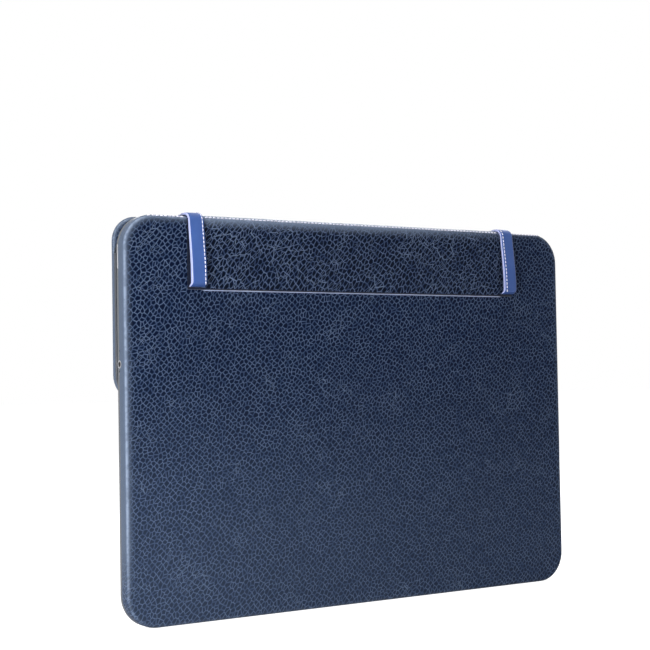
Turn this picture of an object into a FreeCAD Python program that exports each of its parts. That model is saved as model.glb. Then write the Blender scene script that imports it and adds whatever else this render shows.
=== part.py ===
"""Tablet keyboard case in pebbled leather: tablet shell, folding stand flap and keyboard panel.

Frame: the case stands on its lower long edge, +Z up, X along the width, and its leather face
towards -Y. The origin is the middle of the base. Depths are counted from the leather face.
"""
import FreeCAD, Part
import Sketcher
import os
import re

doc = FreeCAD.newDocument("tablet_keyboard_case")
sheet = doc.addObject("Spreadsheet::Sheet", "Sizes")
sheet.Label = "Sizes"

# Driving dimensions in millimetres
SIZES = [
    # Tablet that the shell is made for
    ("tablet_width", 240.0), ("tablet_height", 169.5), ("tablet_thick", 6.1),
    ("tablet_corner", 11.0), ("tablet_gap", 0.2),
    # Tablet shell
    ("leather_thick", 0.9), ("leather_depth", 5.0), ("face_edge", 1.4),
    ("frame_wall", 2.4), ("frame_floor", 0.5), ("rim_depth", 6.8), ("rim_edge", 0.3),
    ("lining_thick", 0.2), ("lining_inset", 0.6),
    # Button and sound port in the left wall
    ("button_height", 10.7), ("button_deep", 1.2), ("button_drop", 18.2),
    ("button_travel", 0.4), ("slide_clearance", 0.1),
    ("port_radius", 1.75), ("port_bore", 1.1), ("port_drop", 64.3), ("port_flange", 1.2),
    ("pinhole_radius", 0.4), ("pinhole_rise", 5.8), ("pinhole_fall", 3.0),
    # Stand flap and straps
    ("slit_drop", 31.5), ("notch_drop", 1.8), ("notch_gap", 0.3),
    ("strap_inset", 34.65), ("strap_width", 7.5), ("strap_gap", 0.25), ("strap_thick", 1.1),
    ("strap_bulge", 1.4), ("bulge_low", 6.0), ("bulge_high", 15.0), ("tuck_height", 1.8),
    ("spine_thick", 0.6), ("flap_proud", 0.4), ("board_thick", 0.45), ("board_round", 1.35),
    ("cover_gap", 0.9),
    ("wire_radius", 0.25), ("knuckle_radius", 0.45), ("wire_anchor", 3.0),
    ("hinge_clearance", 0.03), ("knuckle_gap", 0.25),
    # Spine hinge and the leather that bends over it
    ("axis_depth", 7.5), ("axis_drop", 0.4), ("rod_radius", 0.3), ("barrel_radius", 0.6),
    ("spine_front_start", 4.5), ("spine_rear_start", 2.0),
    ("spine_round_front", 2.5), ("spine_round_rear", 3.8), ("leaf_reach", 4.7),
    # Keyboard panel
    ("screen_gap", 0.2), ("keyboard_thick", 4.4), ("keyboard_drop", 6.5), ("keyboard_height", 73.4),
    ("keyboard_corner", 11.0), ("ear_drop", 0.3), ("hinge_margin", 10.0), ("rear_slit_drop", 31.0),
    ("base_thick", 0.5), ("deck_thick", 1.0), ("deck_wall", 2.0),
    # Keys
    ("key_side", 3.15), ("key_space", 1.6), ("key_thick", 0.9),
    ("key_recess", 0.1), ("key_clearance", 0.25), ("key_flange", 0.35), ("flange_thick", 0.3),
    ("key_margin", 1.2),
    ("membrane_thick", 0.2), ("dome_base", 0.2), ("dome_radius", 1.8),
    # Electronics and controls of the keyboard
    ("cell_length", 78.0), ("cell_height", 3.4), ("cell_thick", 1.7), ("cell_gap", 4.0),
    ("board_length", 46.0), ("circuit_thick", 0.6), ("strip_gap", 0.5),
    ("pair_radius", 1.2), ("pair_flange", 0.4), ("pair_travel", 0.4), ("pair_inset", 24.6),
    ("light_radius", 0.7), ("light_inset", 32.6),
    ("magnet_thick", 1.2), ("magnet_deep", 1.6), ("magnet_length", 14.0), ("magnet_rise", 11.4),
    ("switch_length", 3.0), ("switch_deep", 1.0), ("switch_travel", 2.0), ("switch_rise", 31.4),
    ("switch_flange", 0.9), ("charge_length", 8.0), ("charge_deep", 1.6), ("charge_reach", 4.4),
    ("charge_drop", 2.0), ("charge_wall", 0.35),
]
for row, (alias, value) in enumerate(SIZES, start=1):
    sheet.set(f"A{row}", alias)
    sheet.set(f"B{row}", str(value))
    sheet.setAlias(f"B{row}", alias)
doc.recompute()
NAMES = {alias for alias, value in SIZES}


def bound(text):
    """Expression on the sheet's cells for a formula written with their aliases."""
    def cell(word):
        return "Sizes." + word.group() if word.group() in NAMES else word.group()
    return re.sub(r"[a-z_]+", cell, text)


def number(text):
    """Value of such a formula."""
    return float(sheet.evalExpression(bound(text)))


# Sizes that follow from the driving ones
SIDE = "(tablet_gap + frame_wall + leather_thick)"
WIDE = f"(tablet_width + 2 * {SIDE})"
TALL = f"(tablet_height + 2 * {SIDE})"
HALF = f"({WIDE} / 2)"
ZERO = "0 * leather_thick"
FLOOR = "(leather_thick + frame_floor)"
DECK = f"({FLOOR} + lining_thick + tablet_thick + screen_gap)"
OUTER = f"({DECK} + keyboard_thick)"
MIDDLE = f"({OUTER} / 2)"
TRAY_X = "(tablet_width / 2 + tablet_gap)"
TRAY_LOW = "(leather_thick + frame_wall)"
TRAY_HIGH = f"({TALL} - {TRAY_LOW})"
SLIT = f"({TALL} - slit_drop)"
PORT_Z = f"({TALL} - port_drop)"
PANEL_TOP = f"({TALL} - keyboard_drop)"
PANEL_BASE = f"({PANEL_TOP} - keyboard_height)"
EAR_TOP = f"({TALL} - ear_drop)"
BOARD = "(spine_thick - flap_proud)"
BOARD_BACK = f"({BOARD} + board_thick)"
WIRE_DEPTH = f"({BOARD} + board_thick / 2)"
STRAP_MID = f"({HALF} - strap_inset)"
STRAP_OUT = f"({STRAP_MID} + strap_width / 2)"
STRAP_IN = f"({STRAP_MID} - strap_width / 2)"
FLAP_X = f"({STRAP_IN} - strap_gap)"
NOTCH_X = f"({STRAP_OUT} + notch_gap)"
NOTCH_TOP = f"({TALL} - notch_drop)"
LEG = f"({NOTCH_TOP} + cover_gap)"
AXIS_Z = f"({TALL} - axis_drop)"
SPINE_IN = f"({AXIS_Z} + barrel_radius)"
REAR = f"({OUTER} - {BOARD})"
FRONT_SPLIT = f"({TALL} - spine_front_start)"
REAR_SPLIT = f"({PANEL_TOP} - spine_rear_start)"
DECK_TOP = f"({PANEL_TOP} - hinge_margin)"
DECK_BACK = f"({DECK} + deck_thick)"
BASE_BACK = f"({OUTER} - leather_thick)"
BASE = f"({BASE_BACK} - base_thick)"
PANEL_X = f"({HALF} - leather_thick)"
PANEL_LOW = f"({PANEL_BASE} + leather_thick)"
WELL_X = f"({PANEL_X} - deck_wall)"
WELL_LOW = f"({PANEL_LOW} + deck_wall)"
WELL_TOP = f"({DECK_TOP} - deck_wall)"
KEY_LOW = f"({WELL_LOW} + key_margin)"
UNITS = 14.5
KEY_ROWS = 5
KEY_PITCH = f"(2 * ({WELL_X} - key_side) / {UNITS})"
KEYS_TOP = f"({WELL_TOP} - 2 * strip_gap - cell_height)"
ROW_PITCH = f"(({KEYS_TOP} - {KEY_LOW}) / {KEY_ROWS})"
KEY_TOP = f"({DECK} + key_recess)"
KEY_BACK = f"({KEY_TOP} + key_thick)"
FLANGE_BACK = f"({DECK_BACK} + flange_thick)"
DOME = f"({BASE} - membrane_thick - dome_base)"


def place(item, x, depth, z):
    """Put an object at an x, a depth from the leather face and a height."""
    item.setExpression("Placement.Base.x", bound(x))
    item.setExpression("Placement.Base.y", bound(f"{depth} - {MIDDLE}"))
    item.setExpression("Placement.Base.z", bound(z))


def box(name, x, depth, z):
    """Block between pairs of x, depth and height."""
    item = doc.addObject("Part::Box", name)
    item.setExpression("Length", bound(f"({x[1]}) - ({x[0]})"))
    item.setExpression("Width", bound(f"({depth[1]}) - ({depth[0]})"))
    item.setExpression("Height", bound(f"({z[1]}) - ({z[0]})"))
    place(item, x[0], depth[0], z[0])
    return item


def rod(name, along, radius, start, depth, z, length):
    """Round bar along X from x = start, or along Y from the depth."""
    item = doc.addObject("Part::Cylinder", name)
    item.setExpression("Radius", bound(radius))
    item.setExpression("Height", bound(length))
    turn = {"x": (FreeCAD.Vector(0, 1, 0), 90), "y": (FreeCAD.Vector(1, 0, 0), -90)}[along]
    item.Placement = FreeCAD.Placement(FreeCAD.Vector(), FreeCAD.Rotation(*turn))
    place(item, start, depth, z)
    return item


def cut(name, base, tools):
    """Base less all the tools."""
    tool = tools[0]
    if len(tools) > 1:
        tool = doc.addObject("Part::Compound", name + "_tools")
        tool.Links = tools
    item = doc.addObject("Part::Cut", name)
    item.Base = base
    item.Tool = tool
    return item


def fuse(name, pieces):
    """Pieces joined into one solid, or one solid for each group that touches."""
    item = doc.addObject("Part::MultiFuse", name)
    item.Shapes = pieces
    return item


def outline(body, plane, points):
    """Closed sketch on a plane of a body, each corner held by its two distances."""
    sketch = body.newObject("Sketcher::SketchObject", body.Name + "_sketch")
    support = [item for item in body.Origin.OriginFeatures if item.Role == plane][0]
    sketch.AttachmentSupport = (support, "")
    sketch.MapMode = "FlatFace"
    corners = [FreeCAD.Vector(number(u), number(v), 0) for u, v in points]
    count = len(corners)
    for i in range(count):
        sketch.addGeometry(Part.LineSegment(corners[i], corners[(i + 1) % count]), False)
    for i in range(count):
        sketch.addConstraint(Sketcher.Constraint("Coincident", i, 2, (i + 1) % count, 1))
    for i, pair in enumerate(points):
        sides = (("DistanceX", pair[0], corners[i].x, -2), ("DistanceY", pair[1], corners[i].y, -1))
        for kind, text, value, axis in sides:
            if abs(value) < 1e-9:
                sketch.addConstraint(Sketcher.Constraint("PointOnObject", i, 1, axis))
                continue
            ends = (-1, 1, i, 1) if value > 0 else (i, 1, -1, 1)
            held = sketch.addConstraint(Sketcher.Constraint(kind, *ends, abs(value)))
            sketch.setExpression(f"Constraints[{held}]", bound(text if value > 0 else f"-({text})"))
    return sketch


def pad(body, sketch, length, both=False):
    """Sketch grown by a length, to one side or evenly to both."""
    item = body.newObject("PartDesign::Pad", body.Name + "_pad")
    item.Profile = sketch
    item.setExpression("Length", bound(length))
    item.Midplane = both
    doc.recompute()
    return item


def soften(body, radius, wanted):
    """Round the edges of the body's tip that a test picks by their middle and ends."""
    solid = body.Tip
    edges = [f"Edge{i}" for i, edge in enumerate(solid.Shape.Edges, start=1) if wanted(edge)]
    item = body.newObject("PartDesign::Fillet", body.Name + "_fillet")
    item.Base = (solid, edges)
    item.setExpression("Radius", bound(radius))
    doc.recompute()
    return item


def plate(name, x, depth, z, corner=None, low_only=False, front=None, back=None):
    """Upright slab between depths, with rounded corners and, if asked, a rounded front or back edge."""
    body = doc.addObject("PartDesign::Body", name)
    sketch = outline(body, "XZ_Plane", [(x[0], z[0]), (x[1], z[0]), (x[1], z[1]), (x[0], z[1])])
    pad(body, sketch, f"({depth[1]}) - ({depth[0]})")
    level = (number(z[0]) + number(z[1])) / 2
    if corner:
        def upright(edge):
            ends = [vertex.Point for vertex in edge.Vertexes]
            across = abs(ends[0].y - ends[1].y) > 1e-6
            return across and (not low_only or ends[0].z < level)
        soften(body, corner, upright)
    deep = number(f"({depth[1]}) - ({depth[0]})")
    for radius, where in ((front, -deep), (back, 0.0)):
        if radius:
            soften(body, radius, lambda edge: all(abs(v.Point.y - where) < 1e-6 for v in edge.Vertexes))
    place(body, ZERO, depth[1], ZERO)
    return body


def section(name, points, wide, rounds=()):
    """Profile of depths and heights drawn along X, even about the middle; rounds give corner and radius."""
    body = doc.addObject("PartDesign::Body", name)
    pad(body, outline(body, "YZ_Plane", points), wide, both=True)
    for corner, radius in rounds:
        spot = FreeCAD.Vector(0, number(points[corner][0]), number(points[corner][1]))

        def along(edge):
            return all(abs(v.Point.y - spot.y) + abs(v.Point.z - spot.z) < 1e-6 for v in edge.Vertexes)
        soften(body, radius, along)
    place(body, ZERO, ZERO, ZERO)
    return body


def both_sides(low, high):
    """Left and right pair of x ranges."""
    return (("left", (f"-({high})", f"-({low})")), ("right", (low, high)))


parts = []


def keep(item):
    """Hand an object in as a sub-part under its name."""
    parts.append(item)


# Leather of the shell: face and side walls, notched for the flap
CASE_X = (f"-{HALF}", HALF)
OUTER_CORNER = f"tablet_corner + {SIDE}"
INNER_CORNER = "tablet_corner + tablet_gap + frame_wall"
FRAME_X = (f"-({HALF} - leather_thick)", f"{HALF} - leather_thick")
FRAME_Z = ("leather_thick", f"{TALL} - leather_thick")
OUTSIDE = f"-{HALF} - frame_wall"
port_hole = rod("port_hole", "x", "port_radius", OUTSIDE, "leather_depth", PORT_Z,
                "2 * frame_wall + port_flange")
pinholes = [rod(f"pinhole_{i}", "x", "pinhole_radius", OUTSIDE, "leather_depth", height,
                f"2 * frame_wall + {SIDE}")
            for i, height in enumerate((f"{PORT_Z} + pinhole_rise", f"{PORT_Z} - pinhole_fall"))]
notch = box("face_notch", (f"-{NOTCH_X}", NOTCH_X), ("-leather_thick", DECK),
            (f"{SLIT} - knuckle_radius - knuckle_gap / 2", f"{TALL} + leather_thick"))
wire_hole = rod("wire_hole", "x", "wire_radius", f"-{NOTCH_X} - wire_anchor", WIRE_DEPTH, SLIT,
                f"2 * ({NOTCH_X} + wire_anchor)")
face = plate("face_blank", CASE_X, (ZERO, "leather_depth"), (ZERO, TALL), OUTER_CORNER,
             front="face_edge")
face_inside = plate("face_inside", FRAME_X, ("leather_thick", "leather_depth + leather_thick"),
                    FRAME_Z, INNER_CORNER)
keep(cut("shell_leather", face, [face_inside, notch, port_hole, wire_hole] + pinholes))

# Metal tray that holds the tablet, its rim covering the leather's edge
tray_inside = plate("tray_inside", (f"-{TRAY_X}", TRAY_X), (FLOOR, DECK),
                    (TRAY_LOW, TRAY_HIGH), "tablet_corner + tablet_gap")
tray = plate("tray_blank", FRAME_X, ("leather_thick", "leather_depth"), FRAME_Z, INNER_CORNER)
rim = plate("rim_blank", CASE_X, ("leather_depth", "rim_depth"), (ZERO, TALL), OUTER_CORNER,
            back="rim_edge")
rim_notch = box("rim_notch", (f"-{NOTCH_X}", NOTCH_X), ("-leather_thick", DECK),
                (NOTCH_TOP, f"{TALL} + leather_thick"))
BUTTON_Z = (f"{TALL} - button_drop - button_height / 2",
            f"{TALL} - button_drop + button_height / 2")
BUTTON_D = ("(leather_depth + rim_depth - button_deep) / 2",
            "(leather_depth + rim_depth + button_deep) / 2")
button_slot = box("button_slot", (OUTSIDE, f"-{TRAY_X} + frame_wall"),
                  (f"{BUTTON_D[0]} - slide_clearance", f"{BUTTON_D[1]} + slide_clearance"),
                  (f"{BUTTON_Z[0]} - slide_clearance", f"{BUTTON_Z[1]} + slide_clearance"))
port_passage = rod("port_passage", "x", "port_bore", OUTSIDE, "leather_depth", PORT_Z,
                   f"2 * frame_wall + {SIDE}")
port_seat = rod("port_seat", "x", "port_radius", OUTSIDE, "leather_depth", PORT_Z,
                "frame_wall + port_flange")
tray_body = fuse("tray_body", [tray, rim])
tray_cuts = [tray_inside, rim_notch, button_slot, port_passage, port_seat] + pinholes
keep(cut("shell_frame", tray_body, tray_cuts))

# Tacky lining that grips the tablet's back
keep(plate("grip_lining", (f"-{TRAY_X} + lining_inset", f"{TRAY_X} - lining_inset"),
           (FLOOR, f"{FLOOR} + lining_thick"),
           (f"{TRAY_LOW} + lining_inset", f"{TRAY_HIGH} - lining_inset"),
           "tablet_corner + tablet_gap - lining_inset"))

# Button and port ring in the left wall
keep(box("side_button", (f"-{HALF}", f"-{TRAY_X} - button_travel - slide_clearance"), BUTTON_D, BUTTON_Z))
ring = rod("ring_blank", "x", "port_radius", f"-{HALF}", "leather_depth", PORT_Z, "port_flange")
ring_bore = rod("ring_bore", "x", "port_bore", f"-{HALF} - port_flange", "leather_depth", PORT_Z,
                "3 * port_flange")
keep(cut("port_ring", ring, [ring_bore]))

# Wire that the flap turns on, its ends in the leather beside the notch
keep(rod("flap_wire", "x", "wire_radius", f"-{NOTCH_X} - wire_anchor", WIRE_DEPTH, SLIT,
         f"2 * ({NOTCH_X} + wire_anchor)"))

# Stiff board of the flap: up the face, over the top edge, to the spine hinge
LEG_END = "axis_depth - barrel_radius - knuckle_gap"
LEG_TOP = f"{LEG} + board_thick"
board_line = [(BOARD, SLIT), (BOARD, LEG_TOP), (LEG_END, LEG_TOP), (LEG_END, LEG),
              (BOARD_BACK, LEG), (BOARD_BACK, SLIT)]
board = section("board_blank", board_line, f"2 * {STRAP_OUT}",
                [(1, "board_round + board_thick"), (4, "board_round")])
knuckle = rod("flap_knuckle", "x", "knuckle_radius", f"-{STRAP_OUT}", WIRE_DEPTH, SLIT,
              f"2 * {STRAP_OUT}")
wire_bore = rod("wire_bore", "x", "wire_radius + hinge_clearance", f"-{HALF}", WIRE_DEPTH, SLIT,
                WIDE)
KNUCKLES = 5
SPAN = f"(2 * {STRAP_OUT} / {KNUCKLES})"


def barrel(name, index, bridge_depth, bridge_z):
    """One knuckle of the spine hinge with the bridge to its leaf."""
    start = f"-{STRAP_OUT} + {index} * {SPAN} + knuckle_gap / 2"
    length = f"{SPAN} - knuckle_gap"
    tube = rod(name, "x", "barrel_radius", start, "axis_depth", AXIS_Z, length)
    bridge = box(name + "_bridge", (start, f"{start} + {length}"), bridge_depth, bridge_z)
    return [tube, bridge]


flap_barrels = []
for i in (0, 2, 4):
    flap_barrels += barrel(f"flap_barrel_{i}", i, (f"{LEG_END} - board_thick", "axis_depth"),
                           (LEG, LEG_TOP))
rod_bore = rod("rod_bore", "x", "rod_radius + hinge_clearance", f"-{HALF}", "axis_depth", AXIS_Z,
               WIDE)
board_body = fuse("board_body", [board, knuckle] + flap_barrels)
keep(cut("flap_board", board_body, [wire_bore, rod_bore]))
keep(rod("spine_rod", "x", "rod_radius", f"-{STRAP_OUT}", "axis_depth", AXIS_Z, f"2 * {STRAP_OUT}"))

# Leather on the flap, over the spine and on the keyboard's back, with a strap along each side
FLAP_LOW = f"({SLIT} + knuckle_radius + knuckle_gap / 2)"
REAR_LOW = f"({PANEL_TOP} - rear_slit_drop)"


def arch(name, thick, wide):
    """Strip that bends over the top edge, from the flap's face to the keyboard's back."""
    front = f"{BOARD} - {thick}"
    back = f"{REAR} + {thick}"
    crown = f"{SPINE_IN} + {thick}"
    points = [(front, FRONT_SPLIT), (front, crown), (back, crown), (back, REAR_SPLIT),
              (REAR, REAR_SPLIT), (REAR, SPINE_IN), (BOARD, SPINE_IN), (BOARD, FRONT_SPLIT)]
    rounds = [(1, f"spine_round_front + {thick}"), (2, f"spine_round_rear + {thick}"),
              (5, "spine_round_rear"), (6, "spine_round_front")]
    return section(name, points, wide, rounds)


def stretch(name, face, sign, low, high):
    """Straight stretch of strap that stands off its seat near the slit it tucks into."""
    def out(away):
        return f"{face} {sign} ({away})"
    points = [(out(ZERO), high), (out(ZERO), f"{low} + bulge_high"),
              (out("strap_bulge"), f"{low} + bulge_low"), (out("strap_bulge"), f"{low} + tuck_height"),
              (out(ZERO), f"{low} + tuck_height"), (out(ZERO), low),
              (out("strap_thick"), low), (out("strap_bulge + strap_thick"), f"{low} + tuck_height"),
              (out("strap_bulge + strap_thick"), f"{low} + bulge_low"),
              (out("strap_thick"), f"{low} + bulge_high"), (out("strap_thick"), high)]
    return section(name, points, "strap_width")


FLAP_RANGE = (f"-{FLAP_X}", FLAP_X)
keep(box("flap_leather", FLAP_RANGE, (f"{BOARD} - spine_thick", BOARD), (FLAP_LOW, FRONT_SPLIT)))
keep(arch("spine_leather", "spine_thick", f"2 * {FLAP_X}"))
keep(box("rear_leather", FLAP_RANGE, (REAR, f"{REAR} + spine_thick"), (REAR_LOW, REAR_SPLIT)))
for side, centre in (("left", f"-{STRAP_MID}"), ("right", STRAP_MID)):
    lengths = [stretch(f"strap_front_{side}", BOARD, "-", FLAP_LOW, FRONT_SPLIT),
               arch(f"strap_top_{side}", "strap_thick", "strap_width"),
               stretch(f"strap_rear_{side}", REAR, "+", REAR_LOW, REAR_SPLIT)]
    for strap in lengths:
        strap.setExpression("Placement.Base.x", bound(centre))
        keep(strap)

# Controls on the keyboard's right edge
SWITCH_D = (f"({DECK_BACK} + {BASE} - switch_deep) / 2", f"({DECK_BACK} + {BASE} + switch_deep) / 2")
SWITCH_Z = (f"{PANEL_BASE} + switch_rise", f"{PANEL_BASE} + switch_rise + switch_length")
switch_slot = box("switch_slot", (f"{WELL_X} - deck_wall", f"{HALF} + deck_wall"),
                  (f"{SWITCH_D[0]} - slide_clearance", f"{SWITCH_D[1]} + slide_clearance"),
                  (f"{SWITCH_Z[0]} - slide_clearance", f"{SWITCH_Z[1]} + switch_travel + slide_clearance"))
CHARGE_D = (f"({DECK_BACK} + {BASE} - charge_deep) / 2", f"({DECK_BACK} + {BASE} + charge_deep) / 2")
CHARGE_Z = (f"{KEYS_TOP} - charge_drop - charge_length", f"{KEYS_TOP} - charge_drop")
charge_hole = box("charge_hole", (f"{WELL_X} - deck_wall", f"{HALF} + deck_wall"), CHARGE_D, CHARGE_Z)

# Leather of the keyboard panel: back and side walls, with an ear beside each end of the spine
PANEL_CORNER = "keyboard_corner - leather_thick"
ABOVE = f"{TALL} + hinge_margin"
panel = plate("panel_blank", CASE_X, (DECK_BACK, OUTER), (PANEL_BASE, EAR_TOP), "keyboard_corner",
              back="face_edge")
panel_inside = plate("panel_inside", (f"-{PANEL_X}", PANEL_X), (DECK, BASE_BACK),
                     (PANEL_LOW, f"{PANEL_TOP} - leather_thick"), PANEL_CORNER)
relief = box("panel_relief", (f"-{WIDE}", WIDE), (DECK, BASE), (DECK_TOP, ABOVE))
rear_recess = box("rear_recess", (f"-{NOTCH_X}", NOTCH_X), (REAR, f"{OUTER} + leather_thick"),
                  (f"{REAR_LOW} - knuckle_gap / 2", ABOVE))
leaf_gate = box("leaf_gate", (f"-{NOTCH_X}", NOTCH_X), (DECK, f"{BASE_BACK} + hinge_clearance"),
                (DECK_TOP, ABOVE))
spine_gate = box("spine_gate", (f"-{NOTCH_X}", NOTCH_X), (DECK, f"{OUTER} + leather_thick"),
                 (PANEL_TOP, ABOVE))
panel_cuts = [panel_inside, relief, rear_recess, leaf_gate, spine_gate, switch_slot, charge_hole]
keep(cut("keyboard_leather", panel, panel_cuts))

# Metal base of the keyboard with the leaf that rises to the spine hinge
base_plate = plate("base_blank", (f"-{PANEL_X}", PANEL_X), (BASE, BASE_BACK),
                   (PANEL_LOW, f"{PANEL_TOP} - leather_thick"), PANEL_CORNER)
LEAF_CUT = f"({AXIS_Z} - barrel_radius - knuckle_gap)"
LEAF_KNEE = f"({AXIS_Z} - leaf_reach)"
leaf_line = [("axis_depth", LEAF_CUT), (BASE, LEAF_KNEE), (BASE, DECK_TOP), (BASE_BACK, DECK_TOP),
             (BASE_BACK, f"{LEAF_KNEE} + base_thick"), ("axis_depth + base_thick", LEAF_CUT)]
leaf = section("leaf_blank", leaf_line, f"2 * {STRAP_OUT}")
base_barrels = []
for i in (1, 3):
    base_barrels += barrel(f"base_barrel_{i}", i, ("axis_depth", "axis_depth + base_thick"),
                           (f"{LEAF_CUT} - base_thick", AXIS_Z))
base_body = fuse("base_body", [base_plate, leaf] + base_barrels)
keep(cut("keyboard_base", base_body, [rod_bore]))

# Keys by row from the space bar up, each width in key pitches
ROWS = [
    ("key_row_1", [1, 1, 1, 1.25, -5.25, 1, 1, 1, 1, 1]),
    ("key_row_2", [2.25] + [1] * 10 + [2.25]),
    ("key_row_3", [1.75] + [1] * 11 + [1.75]),
    ("key_row_4", [1.5] + [1] * 13),
    ("key_row_5", [1] * 13 + [1.5]),
]
key_holes = []
domes = []


def key(name, x, z):
    """Keycap with the flange that holds it under the deck; also its hole and its rubber dome."""
    margin = "key_clearance + key_flange"
    cap = box(name, x, (KEY_TOP, FLANGE_BACK), z)
    flange = box(name + "_flange", (f"{x[0]} - ({margin})", f"{x[1]} + {margin}"),
                 (DECK_BACK, FLANGE_BACK), (f"{z[0]} - ({margin})", f"{z[1]} + {margin}"))
    hole = box(name + "_hole", (f"{x[0]} - key_clearance", f"{x[1]} + key_clearance"),
               (f"{DECK} - deck_thick", f"{DECK_BACK} + deck_thick"),
               (f"{z[0]} - key_clearance", f"{z[1]} + key_clearance"))
    key_holes.append(hole)
    dome = doc.addObject("Part::Cone", name + "_dome")
    dome.setExpression("Radius1", bound("dome_radius"))
    dome.setExpression("Radius2", bound("dome_radius / 2"))
    dome.setExpression("Height", bound(f"{DOME} - {FLANGE_BACK}"))
    dome.Placement = FreeCAD.Placement(FreeCAD.Vector(), FreeCAD.Rotation(FreeCAD.Vector(1, 0, 0), 90))
    place(dome, f"({x[0]} + {x[1]}) / 2", DOME, f"({z[0]} + {z[1]}) / 2")
    domes.append(dome)
    return [cap, flange]


for index, (name, widths) in enumerate(ROWS):
    low = f"({KEY_LOW} + {index} * {ROW_PITCH} + key_space / 2)"
    high = f"({low} + {ROW_PITCH} - key_space)"
    caps = []
    done = -UNITS / 2
    for count, units in enumerate(widths):
        x = (f"({done} * {KEY_PITCH} + key_space / 2)",
             f"({done + abs(units)} * {KEY_PITCH} - key_space / 2)")
        pieces = key(f"{name}_cap_{count}", x, (low, high))
        if units < 0:
            keep(fuse("space_bar", pieces))
        else:
            caps += pieces
        done += abs(units)
    keep(fuse(name, caps))

# Deck with its key holes and side walls
STRIP_Z = (f"{KEYS_TOP} + strip_gap", f"{KEYS_TOP} + strip_gap + cell_height")
STRIP_MID = f"({KEYS_TOP} + strip_gap + cell_height / 2)"
deck_plate = plate("deck_plate", CASE_X, (DECK, DECK_BACK), (PANEL_BASE, DECK_TOP),
                   "keyboard_corner", low_only=True, front="rim_edge")
deck_ring = plate("deck_ring", (f"-{PANEL_X}", PANEL_X), (DECK_BACK, BASE), (PANEL_LOW, DECK_TOP),
                  PANEL_CORNER, low_only=True)
deck_well = plate("deck_well", (f"-{WELL_X}", WELL_X), (DECK_BACK, f"{BASE} + deck_thick"),
                  (WELL_LOW, WELL_TOP), f"{PANEL_CORNER} - deck_wall", low_only=True)
PAIR_X = f"{WELL_X} - pair_inset"
LIGHT_X = f"{WELL_X} - light_inset"
pair_hole = rod("pair_hole", "y", "pair_radius + slide_clearance", PAIR_X, f"{DECK} - deck_thick",
                STRIP_MID, "3 * deck_thick")
light_hole = rod("light_hole", "y", "light_radius", LIGHT_X, f"{DECK} - deck_thick", STRIP_MID,
                 "3 * deck_thick")
MAGNET_X = (f"{PANEL_X} - (deck_wall + magnet_thick) / 2",
            f"{PANEL_X} - (deck_wall - magnet_thick) / 2")
MAGNET_Z = (f"{PANEL_BASE} + magnet_rise", f"{PANEL_BASE} + magnet_rise + magnet_length")
magnets = [box(f"magnet_{side}", span, (DECK_BACK, f"{DECK_BACK} + magnet_deep"), MAGNET_Z)
           for side, span in both_sides(*MAGNET_X)]
pockets = [box(f"magnet_pocket_{side}", span, (DECK_BACK, BASE), MAGNET_Z)
           for side, span in both_sides(*MAGNET_X)]
deck_body = fuse("deck_body", [deck_plate, deck_ring])
deck_cuts = [deck_well, pair_hole, light_hole, switch_slot, charge_hole] + pockets + key_holes
keep(cut("keyboard_deck", deck_body, deck_cuts))
keep(fuse("keyboard_magnets", magnets))

# Contact film and rubber dome sheet under the keys
FILM_X = (f"-{UNITS / 2} * {KEY_PITCH}", f"{UNITS / 2} * {KEY_PITCH}")
FILM_Z = (f"{KEY_LOW} + key_space / 2", KEYS_TOP)
keep(box("contact_film", FILM_X, (f"{BASE} - membrane_thick", BASE), FILM_Z))
dome_base = box("dome_base_sheet", FILM_X, (DOME, f"{DOME} + dome_base"), FILM_Z)
keep(fuse("dome_sheet", [dome_base] + domes))

# Power cells and circuit board in the strip above the keys
CELL_D = (f"{BASE} - cell_thick", BASE)
CELL_START = f"(-{UNITS / 2} * {KEY_PITCH})"
NEXT_START = f"({CELL_START} + cell_length + cell_gap)"
keep(box("power_cell_1", (CELL_START, f"{CELL_START} + cell_length"), CELL_D, STRIP_Z))
keep(box("power_cell_2", (NEXT_START, f"{NEXT_START} + cell_length"), CELL_D, STRIP_Z))
CIRCUIT = f"({BASE} - circuit_thick)"
BOARD_END = f"({WELL_X} - slide_clearance)"
keep(box("circuit_board", (f"{BOARD_END} - board_length", BOARD_END), (CIRCUIT, BASE), STRIP_Z))

# Pairing button, status light, power switch and charging socket
PAIR_BACK = f"({CIRCUIT} - pair_travel - slide_clearance)"
pair_stem = rod("pair_stem", "y", "pair_radius", PAIR_X, KEY_TOP, STRIP_MID,
                f"{PAIR_BACK} - {KEY_TOP}")
pair_collar = rod("pair_collar", "y", "pair_radius + pair_flange", PAIR_X, DECK_BACK, STRIP_MID,
                  f"{PAIR_BACK} - {DECK_BACK}")
keep(fuse("pairing_button", [pair_stem, pair_collar]))
keep(rod("status_light", "y", "light_radius", LIGHT_X, DECK, STRIP_MID, f"{CIRCUIT} - {DECK}"))
switch_nub = box("switch_nub", (f"{WELL_X} - switch_flange", HALF), SWITCH_D, SWITCH_Z)
switch_foot = box("switch_foot", (f"{WELL_X} - switch_flange", f"{WELL_X} - slide_clearance"),
                  (f"{DECK_BACK} + slide_clearance", f"{BASE} - slide_clearance"),
                  (f"{SWITCH_Z[0]} - switch_flange", f"{SWITCH_Z[1]} + switch_flange"))
keep(fuse("power_switch", [switch_nub, switch_foot]))
socket = box("socket_blank", (f"{HALF} - charge_reach", HALF), CHARGE_D, CHARGE_Z)
socket_mouth = box("socket_mouth", (f"{HALF} - charge_reach + charge_wall", f"{HALF} + charge_reach"),
                   (f"{CHARGE_D[0]} + charge_wall", f"{CHARGE_D[1]} - charge_wall"),
                   (f"{CHARGE_Z[0]} + charge_wall", f"{CHARGE_Z[1]} - charge_wall"))
keep(cut("charge_socket", socket, [socket_mouth]))

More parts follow.
